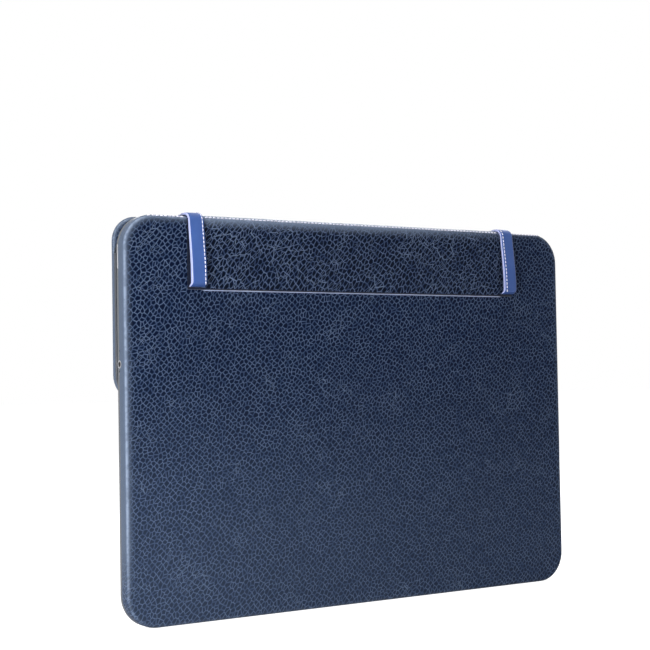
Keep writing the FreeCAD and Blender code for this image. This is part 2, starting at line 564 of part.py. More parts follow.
# Check every object, then write each sub-part to its own file
doc.recompute()
for item in doc.Objects:
    if {"Invalid", "Error"} & set(item.State):
        raise RuntimeError(f"{item.Name} failed: {item.State}")
for item in parts:
    if item.Shape.isNull() or not item.Shape.isValid() or item.Shape.Volume <= 0:
        raise RuntimeError(f"{item.Label} has no sound solid")
os.makedirs("parts", exist_ok=True)
for item in parts:
    item.Shape.exportStep(f"parts/{item.Label}.step")
    frame = item.Shape.BoundBox
    print(f"{item.Label}: {len(item.Shape.Solids)} solids, {item.Shape.Volume / 1000:.3f} cm3, "
          f"x {frame.XMin:.2f} {frame.XMax:.2f}, y {frame.YMin:.2f} {frame.YMax:.2f}, "
          f"z {frame.ZMin:.2f} {frame.ZMax:.2f}")
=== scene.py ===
import math

import bmesh
import bpy
from mathutils import Matrix, Vector, noise


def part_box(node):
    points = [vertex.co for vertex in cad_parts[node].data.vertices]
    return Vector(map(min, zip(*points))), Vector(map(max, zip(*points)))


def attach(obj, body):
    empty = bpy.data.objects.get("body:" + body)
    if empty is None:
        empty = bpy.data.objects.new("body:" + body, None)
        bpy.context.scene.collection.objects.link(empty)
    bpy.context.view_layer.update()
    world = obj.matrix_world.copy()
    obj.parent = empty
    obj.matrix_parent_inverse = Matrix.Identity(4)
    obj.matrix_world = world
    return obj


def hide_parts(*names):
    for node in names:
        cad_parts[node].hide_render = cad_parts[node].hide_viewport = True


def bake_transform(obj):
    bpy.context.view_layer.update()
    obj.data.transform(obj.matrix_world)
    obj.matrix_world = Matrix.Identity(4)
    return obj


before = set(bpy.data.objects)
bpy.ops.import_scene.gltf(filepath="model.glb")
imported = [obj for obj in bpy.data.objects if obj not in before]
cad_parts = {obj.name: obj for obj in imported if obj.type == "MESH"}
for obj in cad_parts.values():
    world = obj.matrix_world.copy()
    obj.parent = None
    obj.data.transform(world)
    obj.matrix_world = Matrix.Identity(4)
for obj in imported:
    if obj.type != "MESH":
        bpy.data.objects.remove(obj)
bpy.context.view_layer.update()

MM = 0.001


def srgb(text):
    """Linear colour of a written one."""
    shares = [int(text[i:i + 2], 16) / 255 for i in (1, 3, 5)]
    return tuple(s / 12.92 if s <= 0.04045 else ((s + 0.055) / 1.055) ** 2.4 for s in shares) + (1.0,)


def smooth(value, low, high):
    """0 at low, 1 at high, soft between."""
    t = min(1.0, max(0.0, (value - low) / (high - low)))
    return t * t * (3 - 2 * t)


# Materials

class Finish:
    """A material built node by node: sockets given as values are linked, anything else is set."""

    def __init__(self, name, **shader):
        self.material = bpy.data.materials.new(name)
        self.material.use_nodes = True
        self.nodes = self.material.node_tree.nodes
        self.links = self.material.node_tree.links
        self.shader = self.nodes["Principled BSDF"]
        self.place = self.node("TexCoord").outputs["Object"]
        self.put(self.shader, {key.replace("_", " "): value for key, value in shader.items()})

    def put(self, node, values):
        for key, value in values.items():
            if isinstance(value, bpy.types.NodeSocket):
                self.links.new(value, node.inputs[key])
            else:
                node.inputs[key].default_value = value

    def node(self, kind, values=None, **settings):
        made = self.nodes.new("ShaderNode" + kind)
        for key, value in settings.items():
            setattr(made, key, value)
        self.put(made, values or {})
        return made

    def noise(self, scale, detail=3.0, place=None):
        values = {"Vector": place or self.place, "Scale": scale, "Detail": detail}
        return self.node("TexNoise", values).outputs["Fac"]

    def warped(self, scale, amount, place=None):
        """The place of each point, shifted a little by noise."""
        place = place or self.place
        values = {"Vector": place, "Scale": scale, "Detail": 2.0}
        drift = self.node("TexNoise", values).outputs["Color"]
        shift = self.node("VectorMath", {0: drift, 1: (0.5, 0.5, 0.5)}, operation="SUBTRACT").outputs[0]
        values = {0: shift, 1: (amount, amount, amount), 2: place}
        return self.node("VectorMath", values, operation="MULTIPLY_ADD").outputs[0]

    def unrolled(self, place):
        """Face, sides and back laid out flat: X and Z with the depth added to both."""
        parts = self.node("SeparateXYZ", {0: place}).outputs
        values = {0: self.maths("ADD", parts[0], parts[1]), 1: self.maths("ADD", parts[2], parts[1])}
        return self.node("CombineXYZ", values).outputs[0]

    def turned(self, place, lean, stretch):
        """Flat place along turned axes, with the upright one drawn out."""
        values = {"Vector": place, "Rotation": (0.0, 0.0, lean), "Scale": (1.0, stretch, 1.0)}
        return self.node("Mapping", values, vector_type="TEXTURE").outputs["Vector"]

    def net(self, size, place, even=0.0):
        """Distance to the nearest line of a flat net of cells."""
        values = {"Vector": place, "Scale": 1 / size, "Randomness": 1.0 - even}
        settings = {"feature": "DISTANCE_TO_EDGE", "voronoi_dimensions": "2D"}
        return self.node("TexVoronoi", values, **settings).outputs["Distance"]

    def cells(self, size):
        """Distance to the middle of the nearest cell."""
        return self.node("TexVoronoi", {"Vector": self.place, "Scale": 1 / size}).outputs["Distance"]

    def outline(self, middle, half_x, half_z, corner):
        """A length that grows to the corner radius at the rim of an upright rounded plate, and X, Y, Z."""
        parts = self.node("SeparateXYZ", {0: self.place}).outputs
        wide = self.maths("SUBTRACT", self.maths("ABSOLUTE", parts[0], 0.0), half_x - corner)
        height = self.maths("ABSOLUTE", self.maths("SUBTRACT", parts[2], middle), 0.0)
        high = self.maths("SUBTRACT", height, half_z - corner)
        values = {0: self.maths("MAXIMUM", wide, 0.0), 1: self.maths("MAXIMUM", high, 0.0)}
        pair = self.node("CombineXYZ", values).outputs[0]
        return self.node("VectorMath", {0: pair}, operation="LENGTH").outputs["Value"], parts

    def remap(self, value, low, high, start=0.0, end=1.0):
        values = {"Value": value, "From Min": low, "From Max": high, "To Min": start, "To Max": end}
        return self.node("MapRange", values, interpolation_type="SMOOTHSTEP").outputs["Result"]

    def maths(self, operation, first, second):
        return self.node("Math", {0: first, 1: second}, operation=operation).outputs[0]

    def mix(self, share, first, second, blend="MIX"):
        values = {0: share, 6: first, 7: second}
        return self.node("Mix", values, data_type="RGBA", blend_type=blend).outputs[2]

    def ramp(self, value, *stops):
        made = self.node("ValToRGB", {"Fac": value})
        points = made.color_ramp.elements
        while len(points) < len(stops):
            points.new(1.0)
        for point, (position, colour) in zip(points, stops):
            point.position = position
            point.color = colour
        return made.outputs["Color"]

    def bump(self, height, depth):
        values = {"Height": height, "Distance": depth, "Strength": 1.0}
        return self.node("Bump", values).outputs["Normal"]

    def done(self, **sockets):
        self.put(self.shader, {key.replace("_", " "): value for key, value in sockets.items()})
        return self.material


CELL = 0.00172
EVEN = 0.3
# Strength of the painted sheen that makes the leather paler low on the left
LOW_SHEEN = 0.17


def pebbles(made, lean, stretch, creased):
    """Distance to the net of ridges, and how much of a ridge or crease there is."""
    flat = made.unrolled(made.warped(13.0, 0.007))
    place = made.turned(made.warped(260.0, 0.0009, flat), lean, stretch)
    edge = made.net(CELL, place, EVEN)
    strength = made.remap(made.noise(380.0), 0.32, 0.62, 0.20, 1.0)
    ridge = made.maths("MULTIPLY", made.remap(edge, 0.0, 0.085, 1.0, 0.0), strength)
    drawn = made.turned(made.warped(70.0, 0.0024, flat), lean - 0.2, 3.4)
    crease = made.remap(made.net(CELL * 1.7, drawn), 0.0, 0.045, 1.0, 0.0)
    crease = made.maths("MULTIPLY", crease, made.remap(made.noise(60.0), creased, creased + 0.2))
    return edge, made.maths("MAXIMUM", ridge, crease)


def wear_and_sheen(made, rim, width):
    """Shares of painted sheen low on the left, of rim rubbing with painted light that fades to the right
    and foot, and of the painted highlight crest along the rim.
    """
    reach, spot = made.outline(*rim)
    corner = rim[3]
    # Painted sheen: paler towards the foot and more on the left, where the low lamp's glossy light falls
    low_sheen = made.remap(spot[2], 0.0, 0.13, LOW_SHEEN, 0.0)
    low_sheen = made.maths("MULTIPLY", low_sheen, made.remap(spot[0], -0.12, 0.12, 1.0, 0.5))
    # Painted light: the rim's paler rub and crest fade towards the foot and the right side, where less
    # light falls
    lit_share = made.remap(spot[2], 0.004, 0.040, 0.15, 1.0)
    lit_share = made.maths("MULTIPLY", lit_share, made.remap(spot[0], 0.0, 0.12, 1.0, 0.4))
    lit_share = made.maths("MULTIPLY", lit_share, made.remap(reach, corner + 0.0006, corner + 0.0025, 1.0, 0.0))
    rub_and_light = made.maths("MULTIPLY", made.remap(reach, corner - width, corner - 0.0003), lit_share)
    # Painted highlight: a narrow pale crest on the rounded rim, just inside its edge, broken into patches
    rise = made.remap(reach, corner - 0.0019, corner - 0.0005)
    fall = made.remap(reach, corner - 0.0005, corner, 1.0, 0.0)
    patches = made.maths("MULTIPLY", lit_share, made.remap(made.noise(420.0), 0.35, 0.62, 0.45, 1.0))
    crest_highlight = made.maths("MULTIPLY", made.maths("MULTIPLY", rise, fall), patches)
    return low_sheen, rub_and_light, crest_highlight


def leather(name, lean, stretch, creased, colours, rim, width):
    """Pebbled leather: dark hollows in a net of paler ridges; paler at the rim from rubbing and painted
    light, with a painted highlight crest and a painted sheen low on the left.
    """
    dark, middle, body, line, rubbed_lit_tone, highlight_tone = (srgb(c) for c in colours)
    made = Finish(name, Specular_IOR_Level=0.06)
    edge, ridge = pebbles(made, lean, stretch, creased)
    low_sheen, rub_and_light, crest_highlight = wear_and_sheen(made, rim, width)
    colour = made.ramp(edge, (0.03, body), (0.15, middle), (0.28, dark))
    colour = made.mix(ridge, colour, line)
    cloud = ((0.32, (0.92, 0.92, 0.93, 1.0)), (0.68, (1.06, 1.06, 1.05, 1.0)))
    colour = made.mix(1.0, colour, made.ramp(made.noise(18.0, 4.0), *cloud), "MULTIPLY")
    # Painted sheen low on the left, mixed towards the ridge colour
    colour = made.mix(low_sheen, colour, line)
    # Rim paler from rubbing, partly painted light that is strongest on the left and top
    colour = made.mix(made.maths("POWER", rub_and_light, 1.6), colour, rubbed_lit_tone)
    # Painted highlight crest along the rim
    colour = made.mix(crest_highlight, colour, highlight_tone)
    relief = made.maths("ADD", ridge, made.maths("MULTIPLY", made.noise(1500.0, 2.0), 0.25))
    relief = made.maths("MULTIPLY", relief, made.remap(rub_and_light, 0.0, 1.0, 1.0, 0.4))
    polish = made.maths("ADD", made.maths("ADD", ridge, rub_and_light), made.noise(320.0))
    rough = made.remap(polish, 0.3, 1.7, 0.58, 0.32)
    return made.done(Base_Color=colour, Roughness=rough, Normal=made.bump(relief, 0.00008))


def smooth_leather(name, low, high):
    """Even leather with pores and a faint cloud."""
    made = Finish(name, Specular_IOR_Level=0.4)
    colour = made.ramp(made.noise(70.0, 4.0), (0.3, low), (0.7, high))
    pores = made.remap(made.cells(0.00055), 0.0, 0.4)
    relief = made.maths("ADD", made.maths("MULTIPLY", pores, 0.6), made.noise(420.0))
    rough = made.remap(made.noise(160.0), 0.3, 0.7, 0.42, 0.56)
    return made.done(Base_Color=colour, Roughness=rough, Normal=made.bump(relief, 0.00004))


def speckled(name, low, high, speck, rough, depth, metallic=0.0):
    """Moulded, painted or coated surface with a fine speckle."""
    made = Finish(name, Metallic=metallic)
    colour = made.ramp(made.noise(1 / speck, 3.0), (0.35, low), (0.65, high))
    shade = made.remap(made.noise(90.0, 4.0), 0.3, 0.7, rough - 0.06, rough + 0.06)
    relief = made.cells(speck)
    return made.done(Base_Color=colour, Roughness=shade, Normal=made.bump(relief, depth))


def brushed(name, low, high, rough):
    """Bare metal with fine marks along X."""
    made = Finish(name, Metallic=1.0)
    values = {"Vector": made.place, "Scale": (0.02, 1.0, 1.0)}
    marks = made.noise(9000.0, 2.0, made.node("Mapping", values).outputs["Vector"])
    colour = made.ramp(marks, (0.35, low), (0.65, high))
    shade = made.remap(marks, 0.3, 0.7, rough - 0.05, rough + 0.08)
    return made.done(Base_Color=colour, Roughness=shade, Normal=made.bump(marks, 0.000004))


def brushed_cloth(name, low, high):
    """Short pile that shades with the way it was stroked."""
    made = Finish(name, Specular_IOR_Level=0.1, Sheen_Weight=0.5, Sheen_Roughness=0.4)
    pile = made.noise(2600.0, 3.0)
    stroked = made.noise(40.0, 3.0, made.warped(25.0, 0.01))
    both = made.maths("ADD", made.maths("MULTIPLY", pile, 0.6), made.maths("MULTIPLY", stroked, 0.4))
    colour = made.ramp(both, (0.35, low), (0.65, high))
    shade = made.remap(pile, 0.3, 0.7, 0.82, 0.96)
    return made.done(Base_Color=colour, Roughness=shade, Normal=made.bump(pile, 0.00005))


def twisted(name, low, high):
    """Sewing thread: slanting strands."""
    made = Finish(name, Specular_IOR_Level=0.3)
    values = {"Vector": made.place, "Scale": 900.0, "Distortion": 1.5}
    strand = made.node("TexWave", values, bands_direction="DIAGONAL").outputs["Fac"]
    colour = made.ramp(strand, (0.2, low), (0.8, high))
    shade = made.remap(strand, 0.0, 1.0, 0.7, 0.5)
    return made.done(Base_Color=colour, Roughness=shade, Normal=made.bump(strand, 0.00004))


# Colours of the leather: hollow, slope, top, ridge, rubbed rim with painted light, and painted highlight
# crest

GRAIN = ("#020a20", "#12203c", "#2a3955", "#66768f", "#4e5a6d", "#7c899e")
# On the flap the rubbed rim and crest colours paint the sheen and highlight along its top edge
FLAP_GRAIN = ("#010716", "#0f1a33", "#253350", "#6a7a95", "#6f7c91", "#8d99ab")

# Rims of the leather sheets: middle height, half width, half height and corner, in metres

SHELL_RIM = (0.08825, 0.1235, 0.08825, 0.0145)
PANEL_RIM = (0.1364, 0.1235, 0.0398, 0.0110)
# The flap's rim is only its top edge, where its rub tone and crest paint a sheen and highlight along the
# rounding
FLAP_RIM = (0.08865, 1.0, 0.08865, 0.0100)

# Finishes, and the solids that take them as they are

NAVY = leather("navy_grain", -0.75, 1.3, 0.54, GRAIN, SHELL_RIM, 0.0050)
BACK = leather("panel_grain", 0.2, 1.3, 0.50, GRAIN, PANEL_RIM, 0.0040)
FLAP = leather("flap_grain", -0.7, 1.6, 0.40, FLAP_GRAIN, FLAP_RIM, 0.0072)
BLUE = smooth_leather("blue_leather_finish", srgb("#2f4d8a"), srgb("#395795"))
PAINT = smooth_leather("edge_paint", srgb("#9aa2ce"), srgb("#b0b6de"))
SLIT_PAINT = smooth_leather("slit_paint", srgb("#8d98b8"), srgb("#a4aecb"))
UNDER = brushed_cloth("flap_lining", srgb("#0b1222"), srgb("#141d33"))
THREAD = twisted("pale_thread", srgb("#b9bcd2"), srgb("#eceaf2"))
RIM = speckled("grey_coat", srgb("#525559"), srgb("#606367"), 0.0005, 0.5, 0.00002, 0.2)
SILVER = brushed("satin_silver", srgb("#9c9ea3"), srgb("#b3b4b8"), 0.4)
ALUMINIUM = brushed("brushed_aluminium", srgb("#9aa0a8"), srgb("#b6bbc2"), 0.38)
STEEL = brushed("bright_steel_finish", srgb("#a8abb0"), srgb("#c6c9cd"), 0.25)
LINING = brushed_cloth("lining_pile", srgb("#282b31"), srgb("#3a3e46"))
DECK = speckled("deck_moulding", srgb("#2c2f35"), srgb("#363a41"), 0.0004, 0.5, 0.00003)
KEYS = speckled("key_moulding", srgb("#111215"), srgb("#191a1e"), 0.0003, 0.42, 0.00002)
FILM = speckled("contact_sheet", srgb("#b8a76a"), srgb("#cbbd86"), 0.002, 0.3, 0.00001)
RUBBER = speckled("dome_sheet_rubber", srgb("#8f8f8b"), srgb("#a3a39e"), 0.0006, 0.7, 0.00003)
WRAP = speckled("cell_foil", srgb("#7f858c"), srgb("#9aa0a6"), 0.0009, 0.35, 0.00003, 0.6)
BOARD = speckled("circuit_mask", srgb("#0f3a25"), srgb("#17492f"), 0.0012, 0.4, 0.00003)
LENS = speckled("lamp_lens", srgb("#c9d3c4"), srgb("#dfe7da"), 0.0003, 0.25, 0.00001)

NODE_FINISH = {
    NAVY: ["shell_leather"],
    BACK: ["keyboard_leather"],
    RIM: ["shell_frame"],
    UNDER: ["flap_board"],
    LINING: ["grip_lining"],
    SILVER: ["port_ring"],
    STEEL: ["flap_wire", "spine_rod", "keyboard_magnets", "charge_socket"],
    ALUMINIUM: ["keyboard_base"],
    DECK: ["keyboard_deck", "pairing_button", "power_switch"],
    FILM: ["contact_film"],
    RUBBER: ["dome_sheet"],
    WRAP: ["power_cell_1", "power_cell_2"],
    BOARD: ["circuit_board"],
    LENS: ["status_light"],
}
for finish, names in NODE_FINISH.items():
    for name in names:
        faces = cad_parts[name].data.materials
        for index in range(len(faces)):
            faces[index] = finish


# Mesh helpers, in millimetres

def piece(name, points, faces, finishes, slot, marks=None):
    """A smooth mesh with outward faces; marks give each face its material."""
    mesh = bpy.data.meshes.new(name)
    mesh.from_pydata([Vector(p) * MM for p in points], [], faces)
    for finish in finishes:
        mesh.materials.append(finish)
    if marks:
        mesh.polygons.foreach_set("material_index", marks)
    built = bmesh.new()
    built.from_mesh(mesh)
    bmesh.ops.recalc_face_normals(built, faces=built.faces)
    built.to_mesh(mesh)
    built.free()
    mesh.polygons.foreach_set("use_smooth", [True] * len(mesh.polygons))
    made = bpy.data.objects.new(name, mesh)
    bpy.context.scene.collection.objects.link(made)
    return made


def skin(rings, marks=None):
    """Points, faces and face marks of closed rings joined one to the next, with both ends shut."""
    around = len(rings[0])
    points = [p for ring in rings for p in ring]
    faces, finish = [], []
    for level in range(len(rings) - 1):
        start = level * around
        for i in range(around):
            j = (i + 1) % around
            faces.append((start + i, start + j, start + around + j, start + around + i))
            finish.append(marks[i] if marks else 0)
    last = len(points) - around
    faces.append(tuple(range(around)))
    faces.append(tuple(last + i for i in range(around)))
    return points, faces, finish + [0, 0]


def joined(parts):
    """Several meshes' points and faces as one."""
    points, faces = [], []
    for some_points, some_faces, _ in parts:
        start = len(points)
        points += some_points
        faces += [tuple(start + i for i in face) for face in some_faces]
    return points, faces


def rounded(low, high, radius, steps=5):
    """Ring of a rectangle with rounded corners, as pairs."""
    ring = []
    for corner in range(4):
        middle = [(high[0] - radius) if corner in (0, 3) else (low[0] + radius),
                  (high[1] - radius) if corner in (0, 1) else (low[1] + radius)]
        for step in range(steps + 1):
            angle = math.pi / 2 * (corner + step / steps)
            ring.append((middle[0] + radius * math.cos(angle), middle[1] + radius * math.sin(angle)))
    return ring


# Seat of the flap's leather and straps: up the flap, over the top edge, down the keyboard's back

def corners(node):
    low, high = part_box(node)
    return low / MM, high / MM


FLAP_BOX = corners("flap_leather")
REAR_BOX = corners("rear_leather")
SPINE_BOX = corners("spine_leather")
STRAP_BOX = corners("strap_top_right")
COVER_THICK = FLAP_BOX[1].y - FLAP_BOX[0].y
STRAP_THICK = STRAP_BOX[1].y - REAR_BOX[0].y
SEAT_FRONT = FLAP_BOX[1].y
SEAT_REAR = REAR_BOX[0].y
SEAT_TOP = SPINE_BOX[1].z - COVER_THICK
ROUND_FRONT = 2.5
ROUND_REAR = 3.8
ROUND_STEPS = 10
FRONT_LOW = FLAP_BOX[0].z
REAR_LOW = REAR_BOX[0].z
STEP = 0.75


def seat_line():
    """Places on the seat as depth, height and the outward direction, from slit to slit."""
    line = []
    front = Vector((SEAT_FRONT + ROUND_FRONT, SEAT_TOP - ROUND_FRONT))
    rear = Vector((SEAT_REAR - ROUND_REAR, SEAT_TOP - ROUND_REAR))
    count = round((front.y - FRONT_LOW) / STEP)
    for i in range(count):
        line.append((Vector((SEAT_FRONT, FRONT_LOW + (front.y - FRONT_LOW) * i / count)), Vector((-1, 0))))
    for middle, radius, start in ((front, ROUND_FRONT, math.pi), (rear, ROUND_REAR, math.pi / 2)):
        for i in range(ROUND_STEPS + 1):
            angle = start - math.pi / 2 * i / ROUND_STEPS
            out = Vector((math.cos(angle), math.sin(angle)))
            line.append((middle + radius * out, out))
        if start == math.pi:
            count = round((rear.x - front.x) / STEP)
            for i in range(1, count):
                line.append((Vector((front.x + (rear.x - front.x) * i / count, SEAT_TOP)), Vector((0, 1))))
    count = round((rear.y - REAR_LOW) / STEP)
    for i in range(1, count + 1):
        line.append((Vector((SEAT_REAR, rear.y + (REAR_LOW - rear.y) * i / count)), Vector((1, 0))))
    return line


SEAT = seat_line()

# Height of a seat place above its slit


def from_end(place):
    """Height above the slit on that place's side."""
    return place.y - (FRONT_LOW if place.x < 0 else REAR_LOW)


# Leather of the flap, over the spine and on the keyboard's back: one sheet, skived under the straps

UNDER_STRAP = 4.0
COVER_STEPS = 72
UNDERSIDE_STRIDE = 13
TUCKED_IN = 0.55


def cover():
    half = FLAP_BOX[1].x
    tucked = [half + 0.4, half + 2.0, half + UNDER_STRAP]
    open_part = [half * (2 * i / COVER_STEPS - 1) for i in range(COVER_STEPS + 1)]
    across = [-x for x in reversed(tucked)] + open_part + tucked
    rings = []
    for place, out in [(Vector((SEAT_FRONT, FRONT_LOW - TUCKED_IN)), Vector((-1, 0)))] + SEAT:
        rise = from_end(place)
        thick = COVER_THICK * (0.35 + 0.65 * smooth(rise, 0.0, 5.0))
        ring = []
        for x in across:
            side = 1 - smooth(abs(x), half - 0.5, half)
            wave = 0.10 * noise.noise(Vector((x / 14, place.x / 5, place.y / 9))) * smooth(rise, 2.0, 8.0)
            skived = 0.25 if abs(x) > half + 0.1 else 0.45 + 0.55 * side ** 0.5
            point = place + out * (thick * skived + wave * side)
            ring.append((x, point.x, point.y))
        for x in reversed(across[::UNDERSIDE_STRIDE]):
            ring.append((x, place.x, place.y))
        rings.append(ring)
    points, faces, _ = skin(rings)
    made = piece("spine_cover", points, faces, [FLAP], "navy_leather")
    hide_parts("flap_leather", "spine_leather", "rear_leather")
    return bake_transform(made)


# Straps: smooth leather with painted edges and a row of stitches along the inner edge

STRAP_IN = STRAP_BOX[0].x
STRAP_WIDE = STRAP_BOX[1].x - STRAP_BOX[0].x
STRAP_BULGE = 2.5
STRAP_PAD = 0.55
STRAP_CROWN = 0.1
STRAP_TUCK = (-0.6, 1.6)
STRAP_SETTLE = (4.0, 40.0)
CROWN_LOW = 168.0
CROWN_MIDDLE = 1.5
CROWN_HALF = 7.5

# Section of a strap: across, up, and 1 where the edge is painted

PROFILE_WIDE = 7.5
PROFILE_HIGH = 1.1
PROFILE = [
    (0.20, 0.00, 1), (0.00, 0.25, 1), (0.00, 0.75, 1), (0.12, 1.00, 0), (0.38, 1.10, 0),
    (0.90, 1.12, 0), (2.20, 1.17, 0), (3.75, 1.20, 0), (5.30, 1.17, 0), (6.60, 1.12, 0),
    (7.10, 1.08, 1), (7.36, 0.95, 1), (7.50, 0.70, 1), (7.50, 0.25, 1), (7.30, 0.00, 0),
    (3.75, 0.00, 0),
]


def strap_lift(place):
    """How far the strap's underside and its upper side stand off the seat."""
    rise = from_end(place)
    slack = smooth(rise, *STRAP_TUCK) * (1 - smooth(rise, *STRAP_SETTLE))
    arch = max(0.0, 1 - ((place.x - CROWN_MIDDLE) / CROWN_HALF) ** 2)
    crown = STRAP_CROWN * arch * smooth(place.y, CROWN_LOW, SEAT_TOP)
    under = STRAP_BULGE * slack + crown
    return under, under + STRAP_THICK * (1 + STRAP_PAD * slack)


def strap(side, word):
    rings = []
    for place, out in SEAT:
        under, upper = strap_lift(place)
        ring = []
        for across, up, _ in PROFILE:
            point = place + out * (under + up * (upper - under) / PROFILE_HIGH)
            ring.append((side * (STRAP_IN + across * STRAP_WIDE / PROFILE_WIDE), point.x, point.y))
        rings.append(ring)
    points, faces, marks = skin(rings, [mark for _, _, mark in PROFILE])
    made = piece(f"strap_{word}", points, faces, [BLUE, PAINT], "blue_leather", marks)
    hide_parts(f"strap_front_{word}", f"strap_top_{word}", f"strap_rear_{word}")
    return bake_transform(made)


def stitch(middle, along, out, length, radius):
    """One stitch: a thread that rises from the leather and dives back."""
    side = along.cross(out)
    rings = []
    for step in (-1.0, -0.9, -0.6, 0.0, 0.6, 0.9, 1.0):
        width = radius * max(0.25, (1 - step ** 4) ** 0.5)
        lift = radius * 0.7 * (1 - step ** 2) - radius * 0.2
        centre = middle + along * (step * length / 2) + out * lift
        rings.append([tuple(centre + (side * math.cos(a) + out * math.sin(a)) * width)
                      for a in (math.pi / 3 * i for i in range(6))])
    return skin(rings)


STITCH_INSET = 1.0
STITCH_FIRST = 3.0
STITCH_PITCH = 1.8
STITCH_LONG = 1.4
STITCH_RADIUS = 0.27


def strap_stitches(side, word):
    line = []
    for place, out in SEAT:
        point = place + out * (strap_lift(place)[1] + STRAP_THICK * 0.03)
        spot = Vector((side * (STRAP_IN + STITCH_INSET), point.x, point.y))
        line.append((spot, Vector((0, out.x, out.y))))
    threads, walked, due = [], 0.0, STITCH_FIRST
    for (start, out), (end, _) in zip(line, line[1:]):
        gap = (end - start).length
        while due <= walked + gap:
            middle = start.lerp(end, (due - walked) / gap)
            threads.append(stitch(middle, (end - start).normalized(), out, STITCH_LONG, STITCH_RADIUS))
            due += STITCH_PITCH
        walked += gap
    made = piece(f"strap_stitches_{word}", *joined(threads), [THREAD], "blue_leather")
    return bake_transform(made)


cover()
for side, word in ((-1, "left"), (1, "right")):
    strap(side, word)
    strap_stitches(side, word)


# Stitches along the top edge: on the flap's leather and on the shell beside the straps

TOP_PITCH = 2.0
TOP_LONG = 1.6
TOP_RADIUS = 0.3
TOP_ENDS = (94.0, 112.0)
FACE_EDGE = 1.4
TURN = math.radians(42)
SHELL_BOX = corners("shell_leather")
PANEL_BOX = corners("keyboard_leather")


def edge_stitches(name, start, end, depth, height, angle, body):
    out = Vector((0, -math.cos(angle), math.sin(angle)))
    count = round((end - start) / TOP_PITCH)
    threads = []
    for i in range(count):
        middle = Vector((start + (end - start) * (i + 0.5) / count, depth, height))
        threads.append(stitch(middle, Vector((1, 0, 0)), out, TOP_LONG, TOP_RADIUS))
    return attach(piece(name, *joined(threads), [THREAD], "navy_leather"), body)


over_round = ROUND_FRONT + COVER_THICK
edge_stitches("flap_stitches", -FLAP_BOX[1].x + 1, FLAP_BOX[1].x - 1,
              SEAT_FRONT + ROUND_FRONT - over_round * math.cos(TURN),
              SEAT_TOP - ROUND_FRONT + over_round * math.sin(TURN), TURN, "flap")
for side, word in ((-1, "left"), (1, "right")):
    ends = sorted(side * end for end in TOP_ENDS)
    edge_stitches(f"top_stitches_{word}", *ends, SHELL_BOX[0].y + FACE_EDGE * (1 - math.cos(TURN)),
                  SHELL_BOX[1].z - FACE_EDGE * (1 - math.sin(TURN)), TURN, "shell")


# Painted lip of the slit in the shell, and of the one in the keyboard's back

LIP_HALF = FLAP_BOX[1].x + 0.6
LIP_RADIUS = 0.22
LIP_STEPS = 120
SLIT_HEIGHT = 144.2


def lip(name, depth, height, out, body):
    rings = []
    for i in range(LIP_STEPS + 1):
        x = LIP_HALF * (2 * i / LIP_STEPS - 1)
        drift = 0.06 * noise.noise(Vector((x / 6, height, 0)))
        wide = LIP_RADIUS * min(1.0, 0.3 + (LIP_HALF - abs(x)) / 1.5)
        rings.append([(x, depth + out * (wide * 0.75 * math.sin(a)), height + drift + wide * math.cos(a))
                      for a in (math.pi / 5 * k for k in range(10))])
    points, faces, _ = skin(rings)
    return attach(piece(name, points, faces, [SLIT_PAINT], "blue_leather"), body)


lip("slit_lip", SHELL_BOX[0].y, SLIT_HEIGHT, -1, "shell")
lip("rear_slit_lip", PANEL_BOX[1].y, REAR_LOW - 0.35, 1, "keyboard")


# Keys with rounded, dished caps

def solids(node):
    """Box of each separate solid of a CAD node, from left to right."""
    built = bmesh.new()
    built.from_mesh(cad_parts[node].data)
    bmesh.ops.remove_doubles(built, verts=built.verts, dist=1e-7)
    left, found = set(built.verts), []
    while left:
        waiting = [left.pop()]
        group = set(waiting)
        while waiting:
            for edge in waiting.pop().link_edges:
                for vert in edge.verts:
                    if vert not in group:
                        group.add(vert)
                        waiting.append(vert)
        left -= group
        spots = [v.co / MM for v in group]
        found.append(tuple(Vector(pick(s[i] for s in spots) for i in range(3)) for pick in (min, max)))
    built.free()
    return sorted(found, key=lambda item: item[0].x)


# Levels of a key cap from its foot to its dished top: inset, drop below the top and corner radius

KEY_DEEP = 1.2
KEY_LEVELS = [
    (0.0, 1.2, 0.4), (0.0, 0.94, 0.4), (0.6, 0.94, 0.9), (0.62, 0.35, 1.1), (0.68, 0.15, 1.1),
    (0.82, 0.04, 1.1), (1.10, 0.00, 1.0), (1.60, 0.03, 0.8), (2.60, 0.07, 0.5),
]


def caps(node):
    parts = []
    for low, high in solids(node):
        rings = []
        for inset, drop, radius in KEY_LEVELS:
            ring = rounded((low.x + inset, low.z + inset), (high.x - inset, high.z - inset), radius)
            rings.append([(x, low.y + drop * (high.y - low.y) / KEY_DEEP, z) for x, z in ring])
        parts.append(skin(rings))
    made = piece(node + "_caps", *joined(parts), [KEYS], "key_plastic")
    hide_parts(node)
    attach(made, node)


for name in ("key_row_1", "key_row_2", "key_row_3", "key_row_4", "key_row_5", "space_bar"):
    caps(name)


# Side button with rounded ends

def pill(node, finish, slot):
    low, high = corners(node)
    radius = (high.y - low.y) / 2 - 0.02
    rings = []
    for x, inset in ((high.x, 0.05), (low.x + 0.35, 0.0), (low.x + 0.12, 0.06), (low.x + 0.02, 0.2)):
        ring = rounded((low.y + inset, low.z + inset), (high.y - inset, high.z - inset), radius - inset)
        rings.append([(x, y, z) for y, z in ring])
    points, faces, _ = skin(rings)
    made = piece(node + "_cap", points, faces, [finish], slot)
    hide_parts(node)
    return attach(made, node)


pill("side_button", SILVER, "silver")


# Floor, light and camera

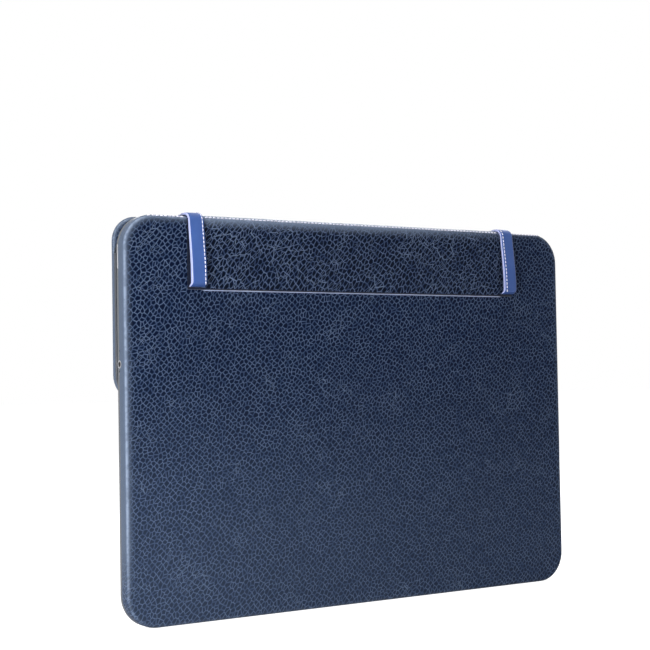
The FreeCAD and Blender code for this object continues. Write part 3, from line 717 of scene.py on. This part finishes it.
FLOOR_REACH = 6.0
FLOOR_GLOW = 0.9
floor_mesh = bpy.data.meshes.new("floor")
floor_corners = [(x * FLOOR_REACH, y * FLOOR_REACH, 0) for x, y in ((-1, -1), (1, -1), (1, 1), (-1, 1))]
floor_mesh.from_pydata(floor_corners, [], [(0, 1, 2, 3)])
floor = bpy.data.objects.new("floor", floor_mesh)
bpy.context.scene.collection.objects.link(floor)


def seen_directly(nodes, links):
    """1 for rays from the eye and for reflected or passed ones."""
    path = nodes.new("ShaderNodeLightPath")
    first = nodes.new("ShaderNodeMath")
    first.operation = "MAXIMUM"
    links.new(path.outputs["Is Camera Ray"], first.inputs[0])
    links.new(path.outputs["Is Glossy Ray"], first.inputs[1])
    second = nodes.new("ShaderNodeMath")
    second.operation = "MAXIMUM"
    links.new(first.outputs[0], second.inputs[0])
    links.new(path.outputs["Is Transmission Ray"], second.inputs[1])
    return second.outputs[0]


ground = bpy.data.materials.new("pale_floor")
ground.use_nodes = True
nodes, links = ground.node_tree.nodes, ground.node_tree.links
shade = nodes["Principled BSDF"]
shade.inputs["Base Color"].default_value = (0.45, 0.45, 0.46, 1)
shade.inputs["Roughness"].default_value = 0.9
shade.inputs["Specular IOR Level"].default_value = 0.1
glow = nodes.new("ShaderNodeEmission")
glow.inputs["Strength"].default_value = FLOOR_GLOW
both = nodes.new("ShaderNodeAddShader")
links.new(shade.outputs[0], both.inputs[0])
links.new(glow.outputs[0], both.inputs[1])
choice = nodes.new("ShaderNodeMixShader")
links.new(seen_directly(nodes, links), choice.inputs[0])
links.new(shade.outputs[0], choice.inputs[1])
links.new(both.outputs[0], choice.inputs[2])
links.new(choice.outputs[0], nodes["Material Output"].inputs["Surface"])
floor_mesh.materials.append(ground)

world = bpy.data.worlds.new("studio")
bpy.context.scene.world = world
world.use_nodes = True
nodes, links = world.node_tree.nodes, world.node_tree.links
plain = nodes["Background"]
plain.inputs["Color"].default_value = (0.93, 0.96, 1.0, 1)
plain.inputs["Strength"].default_value = 0.22
white = nodes.new("ShaderNodeBackground")
white.inputs["Color"].default_value = (1, 1, 1, 1)
white.inputs["Strength"].default_value = 1.0
choice = nodes.new("ShaderNodeMixShader")
links.new(seen_directly(nodes, links), choice.inputs[0])
links.new(plain.outputs[0], choice.inputs[1])
links.new(white.outputs[0], choice.inputs[2])
links.new(choice.outputs[0], nodes["World Output"].inputs["Surface"])


LIT_POINT = Vector((0, 0, 0.09))


def lamp(name, spot, size, power):
    data = bpy.data.lights.new(name, "AREA")
    data.shape = "DISK"
    data.size = size
    data.energy = power
    made = bpy.data.objects.new(name, data)
    made.location = spot
    made.rotation_euler = (LIT_POINT - Vector(spot)).to_track_quat("-Z", "Y").to_euler()
    bpy.context.scene.collection.objects.link(made)


lamp("key", (-0.48, -0.30, 0.03), 0.25, 4.8)
lamp("fill", (-0.9, -1.1, 0.45), 0.9, 2.3)
lamp("rim", (0.9, 0.45, 1.1), 0.4, 4.0)
lamp("top", (-0.3, -0.12, 1.2), 0.7, 9.0)
lamp("back", (0.6, 0.9, 0.5), 0.8, 6.0)

EYE = Vector((-0.3984, -0.5669, 0.1051))
YAW, PITCH, ROLL = math.radians(33.92), math.radians(2.06), math.radians(-0.96)
ahead = Vector((math.sin(YAW) * math.cos(PITCH), math.cos(YAW) * math.cos(PITCH), math.sin(PITCH)))
right = Vector((math.cos(YAW), -math.sin(YAW), 0))
up = right.cross(ahead)
right, up = right * math.cos(ROLL) + up * math.sin(ROLL), up * math.cos(ROLL) - right * math.sin(ROLL)
camera_data = bpy.data.cameras.new("camera")
camera_data.sensor_width = 36.0
camera_data.lens = 81.2
camera_data.clip_start = 0.01
camera = bpy.data.objects.new("camera", camera_data)
camera.matrix_world = Matrix.Translation(EYE) @ Matrix((right, up, -ahead)).transposed().to_4x4()
bpy.context.scene.collection.objects.link(camera)
bpy.context.scene.camera = camera
bpy.context.scene.view_settings.view_transform = "Standard"
